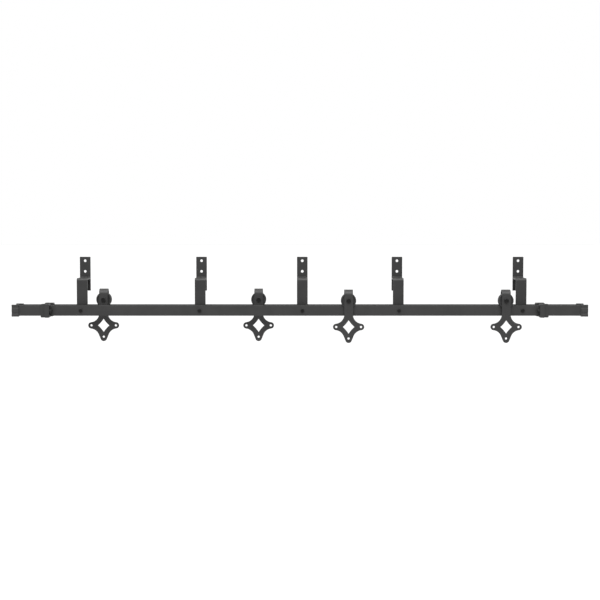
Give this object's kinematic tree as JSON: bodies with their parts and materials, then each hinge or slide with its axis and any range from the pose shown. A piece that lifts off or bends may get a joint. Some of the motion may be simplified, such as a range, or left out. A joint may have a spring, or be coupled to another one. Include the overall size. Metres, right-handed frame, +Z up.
{
  "type": "sliding barn door hardware",
  "caption": "Double-track bypass hardware: two parallel flat rails on wall spacers and bent brackets, strap hangers with grooved wheels and diamond face plates, stops and end caps.",
  "frame": {"origin": "on the axis of the rear rail's middle wall fixing, in the plane of the wall's face", "axes": "+X along the rails to the right, +Y into the wall, +Z up"},
  "size_m": [2.134, 0.1814, 0.3158],
  "materials": {
    "rail_steel": "satin black powder coat",
    "bracket_steel": "satin black powder coat",
    "hanger_steel": "satin black powder coat",
    "stop_steel": "satin black powder coat",
    "spacer": "satin black powder coat",
    "wheel": "moulded black nylon",
    "bearing_steel": "ground steel",
    "fasteners": "black oxide",
    "rubber": "matt black rubber",
    "end_cap": "moulded black plastic"
  },
  "bodies": {
    "root": {"rear_rail": "rail_steel", "front_rail": "rail_steel", "bracket_1_wall_plate": "bracket_steel", "bracket_2_wall_plate": "bracket_steel", "bracket_3_wall_plate": "bracket_steel", "bracket_4_wall_plate": "bracket_steel", "bracket_5_wall_plate": "bracket_steel", "bracket_1_arm": "bracket_steel", "bracket_2_arm": "bracket_steel", "bracket_3_arm": "bracket_steel", "bracket_4_arm": "bracket_steel", "bracket_5_arm": "bracket_steel", "rail_spacers": "spacer", "front_rail_bolts": "fasteners", "front_rail_nuts": "fasteners", "rear_rail_lag_screws": "fasteners", "rail_washers": "fasteners", "rear_left_stop": "stop_steel", "rear_right_stop": "stop_steel", "front_left_stop": "stop_steel", "front_right_stop": "stop_steel", "rear_left_bumper": "rubber", "rear_right_bumper": "rubber", "front_left_bumper": "rubber", "front_right_bumper": "rubber", "stop_screws": "fasteners", "rear_left_end_cap": "end_cap", "rear_right_end_cap": "end_cap", "front_left_end_cap": "end_cap", "front_right_end_cap": "end_cap"},
    "rear_left_hanger": {"rear_left_strap": "hanger_steel", "rear_left_bearing_inner": "bearing_steel", "rear_left_axle_bolt": "fasteners", "rear_left_axle_nut": "fasteners", "rear_left_axle_spacers": "bearing_steel"},
    "rear_right_hanger": {"rear_right_strap": "hanger_steel", "rear_right_bearing_inner": "bearing_steel", "rear_right_axle_bolt": "fasteners", "rear_right_axle_nut": "fasteners", "rear_right_axle_spacers": "bearing_steel"},
    "front_left_hanger": {"front_left_strap": "hanger_steel", "front_left_bearing_inner": "bearing_steel", "front_left_axle_bolt": "fasteners", "front_left_axle_nut": "fasteners", "front_left_axle_spacers": "bearing_steel"},
    "front_right_hanger": {"front_right_strap": "hanger_steel", "front_right_bearing_inner": "bearing_steel", "front_right_axle_bolt": "fasteners", "front_right_axle_nut": "fasteners", "front_right_axle_spacers": "bearing_steel"},
    "rear_left_wheel": {"rear_left_wheel": "wheel", "rear_left_bearing_outer": "bearing_steel"},
    "rear_right_wheel": {"rear_right_wheel": "wheel", "rear_right_bearing_outer": "bearing_steel"},
    "front_left_wheel": {"front_left_wheel": "wheel", "front_left_bearing_outer": "bearing_steel"},
    "front_right_wheel": {"front_right_wheel": "wheel", "front_right_bearing_outer": "bearing_steel"}
  },
  "joints": [
    {"name": "rear_left_slide", "type": "slide", "parent": "root", "child": "rear_left_hanger", "axis": [1, 0, 0], "range_m": [-0.1615, 1.0145]},
    {"name": "rear_left_wheel_spin", "type": "hinge", "parent": "rear_left_hanger", "child": "rear_left_wheel", "pos_m": [-0.746, -0.033, 0.0373], "axis": [0, 1, 0], "continuous": true},
    {"name": "rear_right_slide", "type": "slide", "parent": "root", "child": "rear_right_hanger", "axis": [1, 0, 0], "range_m": [-0.1615, 1.0145]},
    {"name": "rear_right_wheel_spin", "type": "hinge", "parent": "rear_right_hanger", "child": "rear_right_wheel", "pos_m": [-0.164, -0.033, 0.0373], "axis": [0, 1, 0], "continuous": true},
    {"name": "front_left_slide", "type": "slide", "parent": "root", "child": "front_left_hanger", "axis": [1, 0, 0], "range_m": [-1.0785, 0.0975]},
    {"name": "front_left_wheel_spin", "type": "hinge", "parent": "front_left_hanger", "child": "front_left_wheel", "pos_m": [0.171, -0.111, 0.0373], "axis": [0, 1, 0], "continuous": true},
    {"name": "front_right_slide", "type": "slide", "parent": "root", "child": "front_right_hanger", "axis": [1, 0, 0], "range_m": [-1.0785, 0.0975]},
    {"name": "front_right_wheel_spin", "type": "hinge", "parent": "front_right_hanger", "child": "front_right_wheel", "pos_m": [0.753, -0.111, 0.0373], "axis": [0, 1, 0], "continuous": true}
  ],
  "couplings": [
    {"joint": "rear_left_wheel_spin", "follows": "rear_left_slide", "rad_per_m": 55.556},
    {"joint": "rear_right_slide", "follows": "rear_left_slide", "ratio": 1},
    {"joint": "rear_right_wheel_spin", "follows": "rear_left_slide", "rad_per_m": 55.556},
    {"joint": "front_left_wheel_spin", "follows": "front_left_slide", "rad_per_m": 55.556},
    {"joint": "front_right_slide", "follows": "front_left_slide", "ratio": 1},
    {"joint": "front_right_wheel_spin", "follows": "front_left_slide", "rad_per_m": 55.556}
  ]
}
